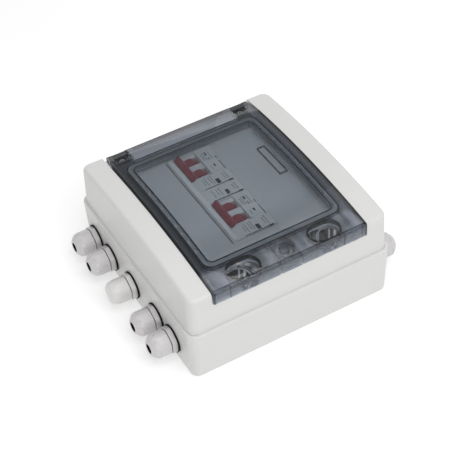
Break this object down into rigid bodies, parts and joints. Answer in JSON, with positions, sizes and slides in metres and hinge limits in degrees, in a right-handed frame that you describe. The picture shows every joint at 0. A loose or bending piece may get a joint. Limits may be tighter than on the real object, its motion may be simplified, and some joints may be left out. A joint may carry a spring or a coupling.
{
  "type": "solar combiner box",
  "caption": "Light grey wall box with an arched smoky door hinged at one side over rail-mounted breakers with red tied levers, and cable glands in its side walls.",
  "frame": {"origin": "centre of the flat back face that lies on the wall", "axes": "+Z out of the wall through the door, +X from the hinge side to the latch side, +Y from the wall with the row of glands to the wall opposite"},
  "size_m": [0.2176, 0.2586, 0.1034],
  "materials": {
    "casing": "satin moulded light grey plastic",
    "window": "clear smoky plastic, glossy",
    "seal": "matt black rubber",
    "hinge": "satin dark grey plastic",
    "steel": "zinc-plated steel",
    "rail": "zinc-plated steel strip",
    "device": "satin moulded light grey plastic",
    "lever": "smooth red plastic",
    "button": "smooth dark plastic",
    "clip": "satin dark grey plastic",
    "copper": "bare copper strip",
    "carrier": "satin grey plastic",
    "brass": "bare brass",
    "gland": "satin moulded grey plastic",
    "blind_gland": "satin moulded near-white plastic"
  },
  "bodies": {
    "casing": {"base_housing": "casing", "cover_housing": "casing", "cover_gasket": "seal", "cover_screws": "steel", "hinge_block_upper": "hinge", "hinge_block_lower": "hinge", "hinge_pin_upper": "steel", "hinge_pin_lower": "steel", "din_rail": "rail", "din_rail_screws": "steel", "breaker_body_1": "device", "breaker_body_2": "device", "indicator_body": "device", "indicator_lens": "button", "terminal_screws": "steel", "blanking_strip": "casing", "link_bar_lower": "copper", "link_bar_upper": "copper", "link_bar_carrier": "carrier", "earth_bar": "brass", "earth_bar_holder": "carrier", "earth_bar_screws": "steel", "gland_washers": "seal", "gland_locknuts": "gland", "gland_body_1": "gland", "gland_nut_1": "gland", "gland_seal_1": "seal", "gland_body_2": "gland", "gland_nut_2": "gland", "gland_seal_2": "seal", "gland_body_3": "blind_gland", "gland_nut_3": "blind_gland", "gland_seal_3": "seal", "gland_body_4": "gland", "gland_nut_4": "gland", "gland_seal_4": "seal", "gland_body_5": "gland", "gland_nut_5": "gland", "gland_seal_5": "seal", "gland_body_6": "gland", "gland_nut_6": "gland", "gland_seal_6": "seal"},
    "door": {"window_door": "window", "door_gasket": "seal"},
    "lever_1": {"breaker_lever_1": "lever"},
    "lever_2": {"breaker_lever_2": "lever"},
    "button_1": {"breaker_button_1": "button"},
    "button_2": {"breaker_button_2": "button"},
    "clip_1": {"breaker_clip_1": "clip"},
    "clip_2": {"breaker_clip_2": "clip"},
    "clip_3": {"indicator_clip": "clip"}
  },
  "joints": [
    {"name": "door_hinge", "type": "hinge", "parent": "casing", "child": "door", "pos_m": [-0.099, 0, 0.09362], "axis": [0, -1, 0], "range_deg": [0, 110]},
    {"name": "lever_1", "type": "hinge", "parent": "casing", "child": "lever_1", "pos_m": [-0.0505, -0.0098, 0.0802], "axis": [-1, 0, 0], "range_deg": [0, 67]},
    {"name": "lever_2", "type": "hinge", "parent": "casing", "child": "lever_2", "pos_m": [0.0215, -0.0098, 0.0802], "axis": [-1, 0, 0], "range_deg": [0, 67]},
    {"name": "button_1", "type": "slide", "parent": "casing", "child": "button_1", "axis": [0, 0, -1], "range_m": [0, 0.0015], "stiffness_N_per_m": 400, "springref_m": -0.001},
    {"name": "button_2", "type": "slide", "parent": "casing", "child": "button_2", "axis": [0, 0, -1], "range_m": [0, 0.0015], "stiffness_N_per_m": 400, "springref_m": -0.001},
    {"name": "clip_1", "type": "slide", "parent": "casing", "child": "clip_1", "axis": [0, -1, 0], "range_m": [0, 0.004], "stiffness_N_per_m": 700, "springref_m": -0.002},
    {"name": "clip_2", "type": "slide", "parent": "casing", "child": "clip_2", "axis": [0, -1, 0], "range_m": [0, 0.004], "stiffness_N_per_m": 700, "springref_m": -0.002},
    {"name": "clip_3", "type": "slide", "parent": "casing", "child": "clip_3", "axis": [0, -1, 0], "range_m": [0, 0.004], "stiffness_N_per_m": 700, "springref_m": -0.002}
  ]
}
